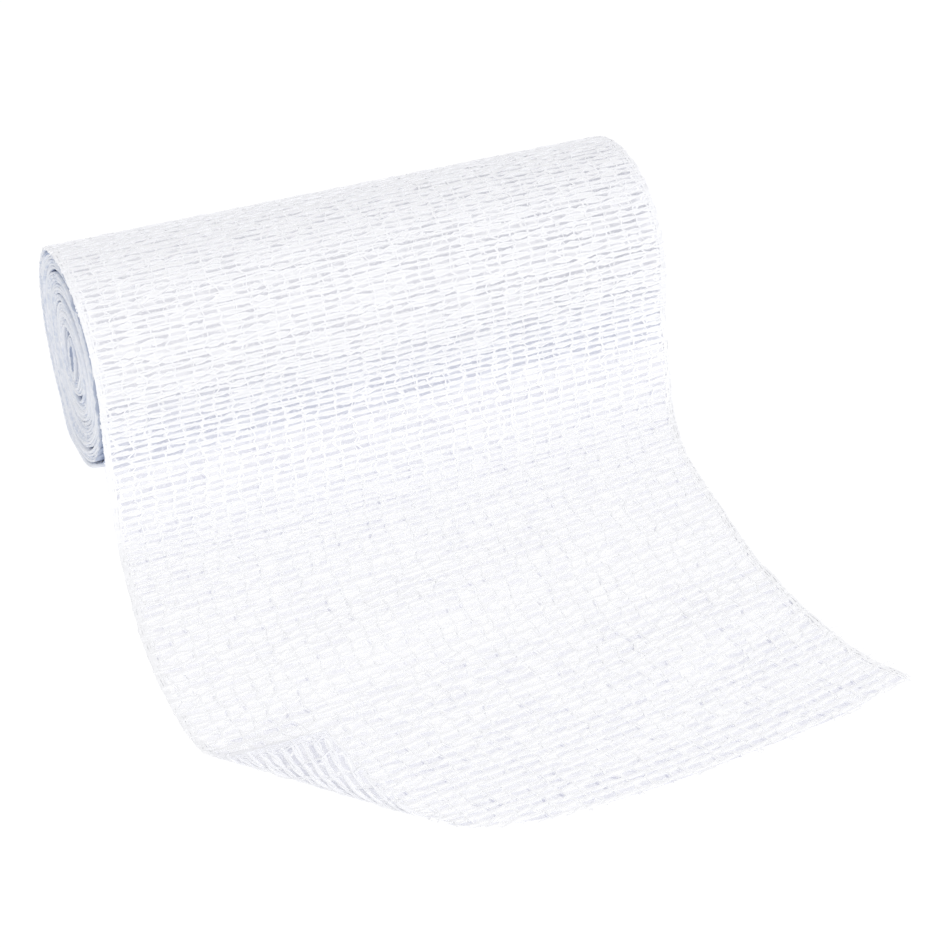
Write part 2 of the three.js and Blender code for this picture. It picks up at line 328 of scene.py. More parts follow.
# The turns' edges at both ends of the roll: the strip's selvedge, wound in a spiral from the rim to the eye.
# Each edge is a soft cord with the crosswise threads' small loops on it. The turns lie loose in places, and
# dark gaps open there. They are wound by hand, so the edges stand in and out a little from turn to turn.
TURN_PITCH = 0.56
WEFT_PITCH = 1.07
EDGE_STEP = 0.42
EDGE_HALF_THICKNESS = 0.265
EDGE_REACH = 2.9
EDGE_SET_BACK = 0.75
INNERMOST_RADIUS = 2.1
EYE_FROM = 6.2
EYE_SQUASH, EYE_STRETCH, EYE_LEAN = 0.68, 0.1, 8
RIM_INSET = 0.16
# The turns' edges are painted in a bluish shade, lighter or darker at random from turn to turn.
SHADED_TURN_COLOURS, EDGE_WHITE = ((0.66, 0.71, 0.81), (0.88, 0.9, 0.94)), (0.89, 0.905, 0.94)
LOOP_HEIGHT = 0.1
FOOT_PROUD, FOOT_ANGLE = 0.7, 288
# A turn's edge is painted from deep shade to lit from this depth behind the rim to this one.
LIT_FROM, LIT_TO = 1.5, 0.8
# Past the step to the sunk turns: where its shade begins and ends, and where their light ends before it.
STEP_SHADE_BEGINS, STEP_SHADE_ENDS, SUNK_LIGHT_ENDS = (-1.4, -1.0), (0.15, 0.55), (-1.2, -0.6)
# By the count of turns: where the loose end begins and ends to cover the turn's edge, and where it is bare.
# The covered edges are painted in deep shade, and the bare ones painted lit.
COVERED_BEGINS, COVERED_ENDS, BARE_ENDS = (0.55, 0.62), (1.0, 1.06), (0.5, 0.56)

# Where turns lie apart: how many turns in from the rim, the gap's middle angle, its half width and opening.
LEFT_GAPS = {
    "turn": (5.2, 6.0, 12.4, 13.2, 15.5, 20.5, 24.2),
    "angle": (285, 100, 262, 60, 165, 300, 120),
    "spread": (75, 60, 85, 80, 70, 80, 80),
    "opening": (0.5, 0.5, 0.7, 0.9, 0.7, 0.7, 0.6),
}
RIGHT_GAPS = {
    "turn": (4.4, 9.3, 14.1, 18.6, 23.0),
    "angle": (240, 70, 200, 320, 110),
    "spread": (80, 75, 85, 70, 80),
    "opening": (0.6, 1.0, 0.9, 0.7, 0.6),
}

# The cord's section: how far to the inside or outside of its turn, in half thicknesses, and how deep.
EDGE_SECTION = {
    "beside": (-0.75, -1.0, -0.55, 0.2, 0.85, 1.0, 0.75),
    "depth": (EDGE_REACH, 0.35, 0.06, 0.0, 0.12, 0.5, EDGE_REACH),
}


def wander(rng, at, wavelengths, height):
    """A smooth random curve of about the given height, made of a few waves of random phase."""
    total = np.zeros_like(at, dtype=float)
    for wavelength in wavelengths:
        total += np.sin(2 * np.pi * at / wavelength + rng.uniform(0, 2 * np.pi)) * rng.uniform(0.5, 1)
    return height * total / math.sqrt(len(wavelengths))


def spiral_turns():
    """Counts of turns from the rim in to the eye, a step of the cord's length apart."""
    turns = [0.0]
    while ROLL_RADIUS - CLOTH_HALF - TURN_PITCH * turns[-1] > INNERMOST_RADIUS:
        radius = ROLL_RADIUS - CLOTH_HALF - TURN_PITCH * turns[-1]
        turns.append(turns[-1] + EDGE_STEP / (2 * math.pi * radius))
    return np.array(turns)


def wound_edge(side, gaps, rng):
    """The turns' edge at one end: points of its section at each step, and the count of turns there."""
    turn = spiral_turns()
    angle = PARTING_ANGLE + 360 * turn
    inner_depth = TURN_PITCH * turn + (TUCK_DEPTH - TURN_PITCH) * np.exp(1 - turn)
    depth = np.where(turn < 1, tuck(angle), inner_depth)
    radius = ROLL_RADIUS - CLOTH_HALF - RIM_INSET + unevenness(angle) - depth
    for gap_turn, gap_angle, spread, widest in zip(*gaps.values()):
        away = np.mod(angle - gap_angle + 180, 360) - 180
        opening = widest * np.cos(np.clip(away / spread, -1, 1) * np.pi / 2) ** 2
        layers = turn - gap_turn - away / 360
        radius -= opening * np.clip(1 - np.abs(layers) / 8, 0, 1) * np.where(layers > 0, 0.7, -0.3)
    closeness = smooth_step(-radius, -EYE_FROM, -INNERMOST_RADIUS)
    y = -radius * np.cos(np.radians(angle)) * (1 - EYE_SQUASH * closeness)
    z = radius * np.sin(np.radians(angle)) * (1 + EYE_STRETCH * closeness)
    lean = math.radians(EYE_LEAN) * closeness
    y, z = y * np.cos(lean) - z * np.sin(lean), z * np.cos(lean) + y * np.sin(lean)
    length = np.arange(len(turn)) * EDGE_STEP
    standing = wander(rng, length, (37, 61, 113, 211), 0.2) + wander(rng, turn, (3.1, 7.3), 0.2)
    loops = LOOP_HEIGHT * np.abs(np.sin(np.pi * length / WEFT_PITCH + wander(rng, length, (19, 31), 0.8)))
    out = ROLL_HALF_LENGTH - EDGE_SET_BACK + standing + loops - sunk(angle, ROLL_RADIUS - CLOTH_HALF - radius)
    out += FOOT_PROUD * smooth_step(radius * np.cos(np.radians(angle - FOOT_ANGLE)), 9, 17)
    thick = EDGE_HALF_THICKNESS * (1 + wander(rng, length, (5, 9, 14), 0.18)) * (1 - 0.4 * closeness)
    z = np.maximum(z, 0.3 + thick - AXIS_HEIGHT)
    radial = np.stack([0 * y, y, z], axis=-1) / (np.hypot(y, z)[:, None] + 1e-9)
    columns = []
    for beside, set_back in zip(*EDGE_SECTION.values()):
        column = np.stack([side * (out - set_back), y, z], axis=-1)
        column += radial * (beside * thick)[:, None]
        columns.append(column)
    points = np.stack(columns, axis=1)
    points[:, :, 2] += AXIS_HEIGHT
    return points, turn


edge_cloth, tree, shader = cloth_material("selvedge_gauze", (0.8, 0.83, 0.9), 0.95)
edge_place = weave_place(tree)
turn_tone = noise(tree, add_node(tree, "Mapping", {0: edge_place, 3: (0.02, 1.6, 1)}).outputs[0], 1.0)
fibre_tone = noise(tree, add_node(tree, "TexCoord", {}).outputs["Object"], 900.0, 4.0)
# Painted bluish shade, varied at random by turn, with whiter fibres.
shaded_turn_colour = mixed(tree, between(tree, turn_tone, 0.38, 0.62), *SHADED_TURN_COLOURS)
edge_colour = mixed(tree, between(tree, fibre_tone, 0.3, 0.7), shaded_turn_colour, EDGE_WHITE)
x, y, z = millimetres(tree)
# The edges are painted in deep shade at their foot and in the eye, and lit towards the rim.
from_middle = maths(tree, "ABSOLUTE", x)
rim_x, foot_x = ROLL_HALF_LENGTH - LIT_TO, ROLL_HALF_LENGTH - LIT_FROM
turn_count = parts_of(tree, edge_place)[1]
last_turn = float(spiral_turns()[-1])
in_eye = between(tree, turn_count, last_turn - 1.2, last_turn - 0.8)
covered = between(tree, turn_count, *COVERED_ENDS, 1.0, 0.0)
covered = maths(tree, "MULTIPLY", covered, between(tree, turn_count, *COVERED_BEGINS))
# The turns under the loose end are sunk. Those beside their step get painted shade, the sunk edges painted
# light.
from_axis, above_axis = from_roll_axis(tree, y, z)
up_share, front_share = math.sin(math.radians(SUNK_ANGLE)), -math.cos(math.radians(SUNK_ANGLE))
towards = maths(tree, "MULTIPLY_ADD", y, front_share, maths(tree, "MULTIPLY", above_axis, up_share))
sunk_reach = maths(tree, "MULTIPLY", maths(tree, "DIVIDE", towards, from_axis), SUNK_REACH)
inward = maths(tree, "SUBTRACT", ROLL_RADIUS - CLOTH_HALF, from_axis)
past_step = maths(tree, "SUBTRACT", inward, sunk_reach)
step_shade = between(tree, past_step, *STEP_SHADE_ENDS, 0.8, 0.0)
step_shade = maths(tree, "MULTIPLY", step_shade, between(tree, past_step, *STEP_SHADE_BEGINS))
sunk_light = between(tree, from_middle, foot_x - SUNK_DEPTH, rim_x - SUNK_DEPTH, 0.0, 0.75)
sunk_light = maths(tree, "MULTIPLY", sunk_light, between(tree, past_step, *SUNK_LIGHT_ENDS, 1.0, 0.0))
light = maths(tree, "MAXIMUM", between(tree, from_middle, foot_x, rim_x), sunk_light)
shade = maths(tree, "MAXIMUM", maths(tree, "MAXIMUM", in_eye, covered), step_shade)
lit = maths(tree, "SUBTRACT", light, shade)
lit = maths(tree, "MAXIMUM", lit, between(tree, turn_count, *BARE_ENDS, 1.0, 0.0))
tree.links.new(mixed(tree, lit, DEEP_SHADE, edge_colour), shader.inputs["Base Color"])
bumped(tree, shader, fibre_tone, 0.5, 0.0002)

for end_name, side, gaps, seed in (("left", -1, LEFT_GAPS, 11), ("right", 1, RIGHT_GAPS, 12)):
    edge, edge_turns = wound_edge(side, gaps, np.random.default_rng(seed))
    rows, columns = grid_corners(*edge.shape[:2])
    edge_loops = rows * edge.shape[1] + columns
    edge_places = np.stack([rows * EDGE_STEP, edge_turns[rows]], axis=-1)
    if side < 0:
        edge_loops = edge_loops.reshape(-1, 4)[:, ::-1].ravel()
        edge_places = edge_places.reshape(-1, 4, 2)[:, ::-1]
    mesh_piece(f"edge_turns_{end_name}", edge, edge_loops, edge_places, edge_cloth)


# The outermost wound turn: crosswise cotton threads of two loose strands, and crimped pairs of stretch yarns
# that lock them in place. Under the loose end it lies in a little, and behind the parting it is what shows.
# Every yarn is uneven, spun loosely, and shifts a little from crossing to crossing.
STRAND_RADIUS = 0.185
STRAND_FLATNESS = 0.7
STRAND_TWIST = 7.5
ROLL_BULK = 1.15
ROLL_SPLIT = 0.3
ROLL_WARP_RADIUS, LOOSE_WARP_RADIUS = 0.12, 0.145
WARP_SPLIT = 0.22
WEFT_HEIGHT, WARP_HEIGHT = 0.1, 0.14
POINTS_PER_COLUMN = 3
SELVEDGE_YARNS = (0.2, 0.58, 0.96)
LEFT_SELVEDGE_RADIUS, RIGHT_SELVEDGE_RADIUS = 0.23, 0.18
TURN_SET_BACK = 0.65
TURN_SWEEP = 357.0
# Random yarn tones, and the painted shade of the loose end's yarns on the roll and the turned-up corner.
YARN_SHADE, YARN_LIGHT, PAINTED_SHADE_COTTON = (0.945, 0.947, 0.957), (0.975, 0.976, 0.98), (0.89, 0.893, 0.915)
# Where the loose end's yarns begin to lie on the roll, and where they are on the turned-up corner.
ON_ROLL, CORNER_HEIGHTS, CORNER_BACK = (-20.5, -18.5), (1.6, 3), (-79, -77)


def yarn_mesh(name, centres, normals, radii, sides, cloth):
    """Flat-faced closed tubes for many yarns. centres and normals have the shape yarns, points, 3."""
    yarns, count = centres.shape[:2]
    along = np.gradient(centres, axis=1)
    along /= np.linalg.norm(along, axis=2, keepdims=True)
    beside = np.cross(along, normals)
    beside /= np.linalg.norm(beside, axis=2, keepdims=True)
    above = np.cross(beside, along)
    turn = np.pi / 2 + 2 * np.pi * (np.arange(sides) - 0.5) / sides
    spread = np.cos(turn)[:, None] * beside[:, :, None, :] + np.sin(turn)[:, None] * above[:, :, None, :]
    points = centres[:, :, None, :] + radii[:, :, None, None] * spread
    yarn, step, corner = np.meshgrid(np.arange(yarns), np.arange(count - 1), np.arange(sides), indexing="ij")
    near = (yarn * count + step) * sides
    far = near + sides
    beyond = (corner + 1) % sides
    quads = np.stack([near + corner, far + corner, far + beyond, near + beyond], axis=-1)
    starts = np.arange(yarns)[:, None] * count * sides
    start_caps = starts + np.arange(sides)
    end_caps = starts + (count - 1) * sides + np.arange(sides)[::-1]
    length = np.cumsum(np.linalg.norm(np.diff(centres, axis=1, prepend=centres[:, :1]), axis=2), axis=1)
    steps = np.stack([step, step + 1, step + 1, step], axis=-1)
    round_share = np.stack([corner, corner, corner + 1, corner + 1], axis=-1) / sides
    quad_places = np.stack([length[yarn[..., None], steps], round_share], axis=-1).reshape(-1, 2)
    cap_places = np.zeros((2 * yarns * sides, 2))
    piece = mesh_piece(
        name,
        points,
        np.concatenate([quads.ravel(), start_caps.ravel(), end_caps.ravel()]),
        np.concatenate([quad_places, cap_places]),
        cloth,
        np.concatenate([np.full(quads.size // 4, 4), np.full(2 * yarns, sides)]),
    )
    piece.data.shade_flat()
    return piece


def uneven_radius(rng, shape, radius, spread):
    """An uneven thickness for each point of each yarn."""
    rough = rng.normal(0, 1, shape)
    smooth = (rough + np.roll(rough, 1, axis=1) + np.roll(rough, 2, axis=1)) / math.sqrt(3)
    return radius * np.clip(1 + spread * smooth, 0.5, 1.8) * rng.uniform(0.8, 1.2, (shape[0], 1))


def strands(rng, share, place, height, split, width):
    """Two loosely twisted strands for each crosswise thread: their share across, place along and height."""
    x = share * width
    turning = np.stack([wander(rng, row, (13.0, 23.0, 41.0), 2.2) for row in x])
    twist = 2 * np.pi * x / STRAND_TWIST + turning
    apart = split * (1 + 0.5 * np.stack([wander(rng, row, (7.0, 11.0, 19.0), 1) for row in x]))
    places = np.concatenate([place + apart * np.cos(twist), place - apart * np.cos(twist)])
    rise = STRAND_FLATNESS * STRAND_RADIUS * np.sin(twist)
    return np.concatenate([share, share]), places, np.concatenate([height + rise, height - rise])


def crosswise(rng, places, split, share):
    """The crosswise threads as two strands each, which stray and go over and under the pairs of yarns."""
    count = len(places)
    share_grid = np.broadcast_to(share, (count, len(share))).copy()
    share_grid += rng.uniform(-0.0015, 0.0015, (count, 1))
    x = share * 2 * ROLL_HALF_LENGTH
    stray = np.stack([wander(rng, x, (9.0, 17.0, 31.0, 55.0), 0.1) for _ in range(count)])
    side = np.where(np.arange(count) % 2, 1, -1)[:, None]
    height = WEFT_HEIGHT * side * np.cos(np.pi * (share * WARP_COLUMNS - 0.5))
    return strands(rng, share_grid, places[:, None] + stray, height, split[:, None], 2 * ROLL_HALF_LENGTH)


def column_shares():
    """Shares across the cloth of the pairs of lengthwise yarns, with the closer yarns of both selvedges."""
    columns = (np.arange(WARP_COLUMNS) + 0.5) / WARP_COLUMNS
    close = np.array(SELVEDGE_YARNS) / (2 * ROLL_HALF_LENGTH)
    return np.concatenate([close, columns, 1 - close])


def lengthwise(rng, places, split, shift, yarn_radius):
    """Two crimped yarns for each column: share across, crosswise threads passed, height and thickness."""
    shares = column_shares()
    crossings = len(places)
    steps = 3 * (crossings - 1) + 1
    at = np.arange(steps) / 3
    share_rows, height_rows, thick_rows = [], [], []
    for share in shares:
        close = min(share, 1 - share) * 2 * ROLL_HALF_LENGTH < max(SELVEDGE_YARNS) + 0.1
        loose = 0.15 if close else 1.0
        slow = wander(rng, np.arange(crossings), (5.3, 9.1, 17.0), 0.16)
        shifted = loose * (rng.normal(0, 1, crossings) * shift + slow)
        over = np.where(rng.uniform(size=crossings) < 0.65, -1, 1).cumprod()
        for yarn in (-1, 1):
            lateral = shifted + loose * yarn * split * over + rng.normal(0, 0.05, crossings)
            lateral_steps = np.interp(at, np.arange(crossings), lateral)
            height = np.interp(at, np.arange(crossings), yarn * over * WARP_HEIGHT)
            gap_thick = rng.choice([0.45, 0.8, 1.1, 1.3], size=crossings, p=[0.22, 0.3, 0.3, 0.18])
            thick = gap_thick[np.minimum((at + 1e-6).astype(int), crossings - 1)]
            thick[::3] = 1.3
            share_rows.append(share + lateral_steps / (2 * ROLL_HALF_LENGTH))
            height_rows.append(height + rng.normal(0, 0.02, steps))
            selvedge_radius = LEFT_SELVEDGE_RADIUS if share < 0.5 else RIGHT_SELVEDGE_RADIUS
            thick_rows.append(np.full(steps, selvedge_radius) if close else yarn_radius * thick)
    count_rows = np.broadcast_to(at, (len(share_rows), steps))
    return np.array(share_rows), count_rows, np.array(height_rows), np.array(thick_rows)


# Spun cotton: fine fibres that run round the yarn as it is twisted, with slubs and a slightly uneven white.
tree, fibre_in, fibre_out = shader_group(
    "spun_fibres",
    {"Place": "Vector", "Twist": "Float"},
    {"Height": "Float", "Tone": "Float"},
)
fibre_group = tree
place = parts_of(tree, fibre_in["Place"])
wound_on = maths(tree, "MULTIPLY_ADD", place[0], fibre_in["Twist"], place[1])
ridge = maths(tree, "SINE", maths(tree, "MULTIPLY", wound_on, 4 * math.pi * 2))
slub = noise(tree, fibre_in["Place"], 0.8, 3.0)
tree.links.new(maths(tree, "MULTIPLY_ADD", ridge, 0.3, slub), fibre_out["Height"])
tree.links.new(slub, fibre_out["Tone"])


def on_turned_corner(tree):
    """How far a place lies on the corner that is turned up, above the surface near the cut end."""
    _, y, z = millimetres(tree)
    near_cut_end = between(tree, y, *CORNER_BACK, 1.0, 0.0)
    return maths(tree, "MULTIPLY", between(tree, z, *CORNER_HEIGHTS), near_cut_end)


def yarn_material(name, twist, relief, covered):
    """A spun white yarn, with its turns to the millimetre and its relief. It is painted in shade on the roll.
    """
    material, tree, shader = cloth_material(name, YARN_WHITE, 0.9)
    shader.inputs["Sheen Weight"].default_value = 0.1
    sources = {"Place": weave_place(tree), "Twist": twist}
    fibres = add_node(tree, "Group", sources, node_tree=fibre_group).outputs
    colour = mixed(tree, between(tree, fibres["Tone"], 0.3, 0.7), YARN_SHADE, YARN_LIGHT)
    shade = shade_under_loose_end(tree)
    if covered:
        # The turn's yarns are painted in the loose end's shade.
        colour = mixed(tree, shade, colour, SHADED_COTTON)
    else:
        # The loose end's yarns are painted in shade on the roll, more so low down, and on the turned-up
        # corner.
        on_roll = between(tree, millimetres(tree)[1], *ON_ROLL)
        pressed = maths(tree, "MULTIPLY", on_roll, maths(tree, "MULTIPLY_ADD", shade, 0.5, 0.4))
        pressed = maths(tree, "MAXIMUM", pressed, on_turned_corner(tree))
        colour = mixed(tree, pressed, colour, PAINTED_SHADE_COTTON)
    tree.links.new(colour, shader.inputs["Base Color"])
    bumped(tree, shader, fibres["Height"], relief, 0.00006)
    return material


# Cotton across and textured stretch filaments along. The turn's own are painted in bluer shade under the
# loose end.
cotton_cloth = yarn_material("cotton_yarn", 0.9, 0.25, False)
stretch_cloth = yarn_material("stretch_yarn", 2.5, 0.05, False)
turn_cotton_cloth = yarn_material("wound_cotton_yarn", 0.9, 0.25, True)
turn_stretch_cloth = yarn_material("wound_stretch_yarn", 2.5, 0.05, True)

weft_rng = np.random.default_rng(21)
weft_shares = np.linspace(0, 1, WARP_COLUMNS * POINTS_PER_COLUMN + 1)
turn_angles = PARTING_ANGLE + 1.5 + TURN_SWEEP * (np.arange(TURN_WEFTS) + 0.5) / TURN_WEFTS
turn_angles += weft_rng.uniform(-0.4, 0.4, TURN_WEFTS)
turn_places = np.radians(turn_angles) * ROLL_RADIUS
share, place_along, height = crosswise(weft_rng, turn_places, np.full(TURN_WEFTS, ROLL_SPLIT), weft_shares)
angle = np.degrees(place_along / ROLL_RADIUS)
thick = uneven_radius(weft_rng, share.shape, STRAND_RADIUS * ROLL_BULK, 0.15)
half = ROLL_HALF_LENGTH - TURN_SET_BACK - sunk(angle, 0)
radius = wound_radius(np.clip(angle, PARTING_ANGLE + 1, PARTING_ANGLE + 359)) - CLOTH_HALF + height
points = round_roll((2 * share - 1) * half, angle, radius, thick + 0.02)
yarn_mesh("turn_wefts", points, outward(angle), thick, 4, turn_cotton_cloth)

warp_rng = np.random.default_rng(22)
ring_angles = np.concatenate([[PARTING_ANGLE + 1], turn_angles, [PARTING_ANGLE + 359]])
share, count, height, thick = lengthwise(warp_rng, ring_angles, WARP_SPLIT, 0.5, ROLL_WARP_RADIUS)
angle = np.interp(count, np.arange(len(ring_angles)), ring_angles)
half = ROLL_HALF_LENGTH - TURN_SET_BACK - sunk(angle, 0)
radius = wound_radius(angle) - CLOTH_HALF + height
thick = thick * uneven_radius(warp_rng, thick.shape, 1, 0.12)
points = round_roll((2 * share - 1) * half, angle, radius, thick + 0.02)
yarn_mesh("turn_warps", points, outward(angle), thick, 3, turn_stretch_cloth)


# The loose end: one layer of the same gauze, from its parting behind the top of the roll to its cut end.
# It comes down the roll's front, hangs, turns on to the surface and lies there, with one corner turned up.
# This sheet is the haze of fine fibres between the yarns, so thin that the surface shows through it.
# Its cells are painted in a lavender shade, for the shade beneath the yarns.
LOOSENESS = 1.05
EVENED_BELOW = 30
LOOSE_BELOW = 0.55
DROP_REACH = 14
DROP_HOLD = 0.62
LYING_HEIGHT = 0.4
SELVEDGES = {
    "along": (-50, 0, 14, 24, 34, 50, 66, 80, 94, 108),
    "left": (-50.3, -50.2, -50.9, -52.3, -53.8, -55.6, -55.8, -53.9, -50.6, -47.5),
    "right": (50.3, 50.3, 50.0, 46.6, 43.2, 40.8, 39.1, 39.4, 42.2, 51.0),
}
CUT_END = {
    "across": (0, 0.15, 0.3, 0.45, 0.65, 0.85, 1),
    "along": (95.4, 99.7, 104.6, 105.9, 104.9, 102.9, 99.6),
}
CURL_X, CURL_Y, CURL_OUTWARD, CURL_RADIUS, CURL_TURN = -40.4, -92.8, 223, 4.7, 150
SWELLS = [
    {"x": -12, "y": -62, "heading": 14, "half_length": 46, "half_width": 11, "height": 0.9},
    {"x": 22, "y": -86, "heading": 20, "half_length": 26, "half_width": 8, "height": 0.7},
]
# How far apart the crosswise threads lie, and their strands' split. The cloth is drawn out in its middle.
WEFT_SPACING = {
    "along": (-40, 0, 12, 26, 42, 60, 76, 92, 106),
    "pitch": (1.07, 1.1, 1.22, 1.45, 1.95, 2.05, 1.95, 1.55, 1.35),
    "split": (0.3, 0.3, 0.25, 0.28, 0.38, 0.4, 0.38, 0.3, 0.26),
}
OPENED_SPLIT, OPENED_BULK = 0.24, 1.5
AS_ON_ROLL_TO = 4
WEFT_TILT, TILT_FROM, TILT_OVER = 5.4, 0.35, 75
LAID_TO = 110
FILM_HEM = 0.5
# Counted in crosswise threads past the roll's front: where the haze is painted in bluer shade, where the
# cloth leaves the roll, where it is drawn out and over how many threads that comes on.
SHADED, LEAVES_ROLL, DRAWN_OUT, DRAWN_OVER = (-6, 4), (7.5, 9.5), (20, 54), 14
# The columns over which the haze is painted darker to the right, and how near the edge the selvedge closes
# it.
RIGHT_PART, SELVEDGE_COLUMNS = (12, 34), (0.4, 0.3)
# The cells' painted shade from their emptiest to their fullest.
HAZE_COLOURS = {
    "open": ((0.58, 0.585, 0.7), (0.88, 0.88, 0.92)),
    "drawn out": ((0.71, 0.71, 0.8), (0.92, 0.92, 0.945)),
    "turned up": ((0.58, 0.59, 0.69), (0.84, 0.84, 0.89)),
    "on the roll": ((0.69, 0.69, 0.735), (0.92, 0.92, 0.94)),
    "on its right": ((0.55, 0.555, 0.61), (0.86, 0.86, 0.89)),
    "at its foot": ((0.57, 0.585, 0.67), (0.82, 0.83, 0.88)),
}

drop_top = ROLL_RADIUS - LOOSE_BELOW + LOOSENESS
drop_time = np.linspace(0, 1, 400)[:, None]
drop_corners = np.array([
    (-drop_top, AXIS_HEIGHT),
    (-drop_top, AXIS_HEIGHT * (1 - DROP_HOLD)),
    (-drop_top - DROP_REACH * (1 - DROP_HOLD), LYING_HEIGHT),
    (-drop_top - DROP_REACH, LYING_HEIGHT),
])
drop_line = (
    (1 - drop_time) ** 3 * drop_corners[0]
    + 3 * drop_time * (1 - drop_time) ** 2 * drop_corners[1]
    + 3 * drop_time**2 * (1 - drop_time) * drop_corners[2]
    + drop_time**3 * drop_corners[3]
)
drop_steps = np.concatenate([[0], np.cumsum(np.linalg.norm(np.diff(drop_line, axis=0), axis=1))])
drop_length = drop_steps[-1]


def from_table(table, key, column, at):
    """Values read from a table's column by a smooth curve through its rows."""
    keys, values = np.array(table[key], dtype=float), np.array(table[column], dtype=float)
    before = np.maximum(np.arange(len(keys)) - 1, 0)
    after = np.minimum(np.arange(len(keys)) + 1, len(keys) - 1)
    slopes = (values[after] - values[before]) / (keys[after] - keys[before])
    low = np.clip(np.searchsorted(keys, at, side="right") - 1, 0, len(keys) - 2)
    span = keys[low + 1] - keys[low]
    t = np.clip((at - keys[low]) / span, 0, 1)
    rise = t * t * (3 - 2 * t)
    pulls = t * (1 - t) ** 2 * span * slopes[low] - t**2 * (1 - t) * span * slopes[low + 1]
    return values[low] * (1 - rise) + values[low + 1] * rise + pulls


def loose_angle_and_radius(along):
    """The angle and radius of the loose end's middle where it still lies round the roll."""
    angle = np.degrees(-along / ROLL_RADIUS)
    for _ in range(4):
        slack = LOOSENESS * (1 - smooth_step(angle, 0, PARTING_ANGLE))
        radius = ROLL_RADIUS + unevenness(angle) * np.clip(angle / EVENED_BELOW, 0, 1) - LOOSE_BELOW + slack
        angle = np.degrees(-along / radius)
    return angle, radius


def swell_height(x, y):
    """The height of the low swells at a place on the surface."""
    height = 0 * x
    for swell in SWELLS:
        heading = math.radians(swell["heading"])
        forth = (x - swell["x"]) * math.cos(heading) + (y - swell["y"]) * math.sin(heading)
        aside = (y - swell["y"]) * math.cos(heading) - (x - swell["x"]) * math.sin(heading)
        away = np.hypot(forth / swell["half_length"], aside / swell["half_width"])
        height = height + swell["height"] * (1 - smooth_step(away, 0, 1))
    return height


def turned_up(x, y, z, lying):
    """The lying cloth's points with the corner beyond its bending line turned up."""
    heading, turn = math.radians(CURL_OUTWARD), math.radians(CURL_TURN)
    beyond = (x - CURL_X) * math.cos(heading) + (y - CURL_Y) * math.sin(heading)
    beyond = np.where(lying, np.maximum(beyond, 0), 0)
    bent = np.minimum(beyond, CURL_RADIUS * turn)
    rest = beyond - bent
    bend = bent / CURL_RADIUS
    out = CURL_RADIUS * np.sin(bend) + rest * np.cos(bend) - beyond
    rise = CURL_RADIUS * (1 - np.cos(bend)) + rest * np.sin(bend)
    return np.stack([x + out * math.cos(heading), y + out * math.sin(heading), z + rise], axis=-1)


def loose_surface(along, share):
    """Points of the loose end's middle, by the length of cloth from the roll's front and the share across."""
    left = from_table(SELVEDGES, "along", "left", along)
    x = left + share * (from_table(SELVEDGES, "along", "right", along) - left)
    angle, radius = loose_angle_and_radius(np.minimum(along, 0))
    y = -radius * np.cos(np.radians(angle))
    z = AXIS_HEIGHT + radius * np.sin(np.radians(angle))
    hanging = along > 0
    y = np.where(hanging, np.interp(along, drop_steps, drop_line[:, 0]), y)
    z = np.where(hanging, np.interp(along, drop_steps, drop_line[:, 1]), z)
    lying = along > drop_length
    y = np.where(lying, drop_line[-1, 0] - (along - drop_length), y)
    z = z + np.where(lying, swell_height(x, y), 0)
    return turned_up(x, y, z, lying)


def loose_normals(along, share):
    """Directions straight out of the loose end's upper side."""
    step = 0.05
    forth = loose_surface(along + step, share) - loose_surface(along - step, share)
    aside = loose_surface(along, share + step / 100) - loose_surface(along, share - step / 100)
    normal = np.cross(forth, aside)
    return normal / np.linalg.norm(normal, axis=-1, keepdims=True)


def weft_places():
    """Where the crosswise threads lie at the loose end's left edge, from the parting past the cut end."""
    places = [loose_start + 0.4]
    while places[-1] < LAID_TO:
        places.append(places[-1] + float(from_table(WEFT_SPACING, "along", "pitch", np.array(places[-1]))))
    return np.array(places)


def tilted(place, share):
    """The place along the cloth of a crosswise thread, straight at the left and turned up to the right."""
    lean = WEFT_TILT * smooth_step(place, 0, TILT_OVER)
    return place - lean * np.clip((share - TILT_FROM) / (1 - TILT_FROM), 0, 1) ** 2


def cut_back(share, along, limit):
    """Keeps of each yarn what lies before the cut end, spread over as many points as before."""
    kept = []
    for row in range(len(along)):
        inside = np.flatnonzero(along[row] < limit[row])
        if len(inside) < 8:
            continue
        run = max(np.split(inside, np.flatnonzero(np.diff(inside) > 1) + 1), key=len)
        kept.append((row, np.linspace(run[0], run[-1], along.shape[1])))
    return kept


def taken(grid, kept):
    """The kept stretches of the yarns' values."""
    return np.array([np.interp(index, np.arange(grid.shape[1]), grid[row]) for row, index in kept])


loose_rng = np.random.default_rng(31)
loose_start = -math.radians(PARTING_ANGLE - 0.5) * (ROLL_RADIUS - LOOSE_BELOW)
places = weft_places()
places[1:-1] += loose_rng.uniform(-0.12, 0.12, len(places) - 2)
splits = from_table(WEFT_SPACING, "along", "split", places)
share, place_along, height = crosswise(loose_rng, places, splits, weft_shares)
along = tilted(place_along, share)
kept = cut_back(share, along, from_table(CUT_END, "across", "along", share))
share, along, height = (taken(grid, kept) for grid in (share, along, height))
normals = loose_normals(along, share)
opened = np.maximum(from_table(WEFT_SPACING, "along", "split", along) - OPENED_SPLIT, 0)
bulk = np.where(along < AS_ON_ROLL_TO, ROLL_BULK, 1 + OPENED_BULK * opened)
thick = uneven_radius(loose_rng, share.shape, STRAND_RADIUS, 0.15) * bulk
points = loose_surface(along, share) + normals * height[:, :, None]
points[:, :, 2] = np.maximum(points[:, :, 2], thick + 0.02)
loose_wefts = yarn_mesh("loose_wefts", points, normals, thick, 4, cotton_cloth)

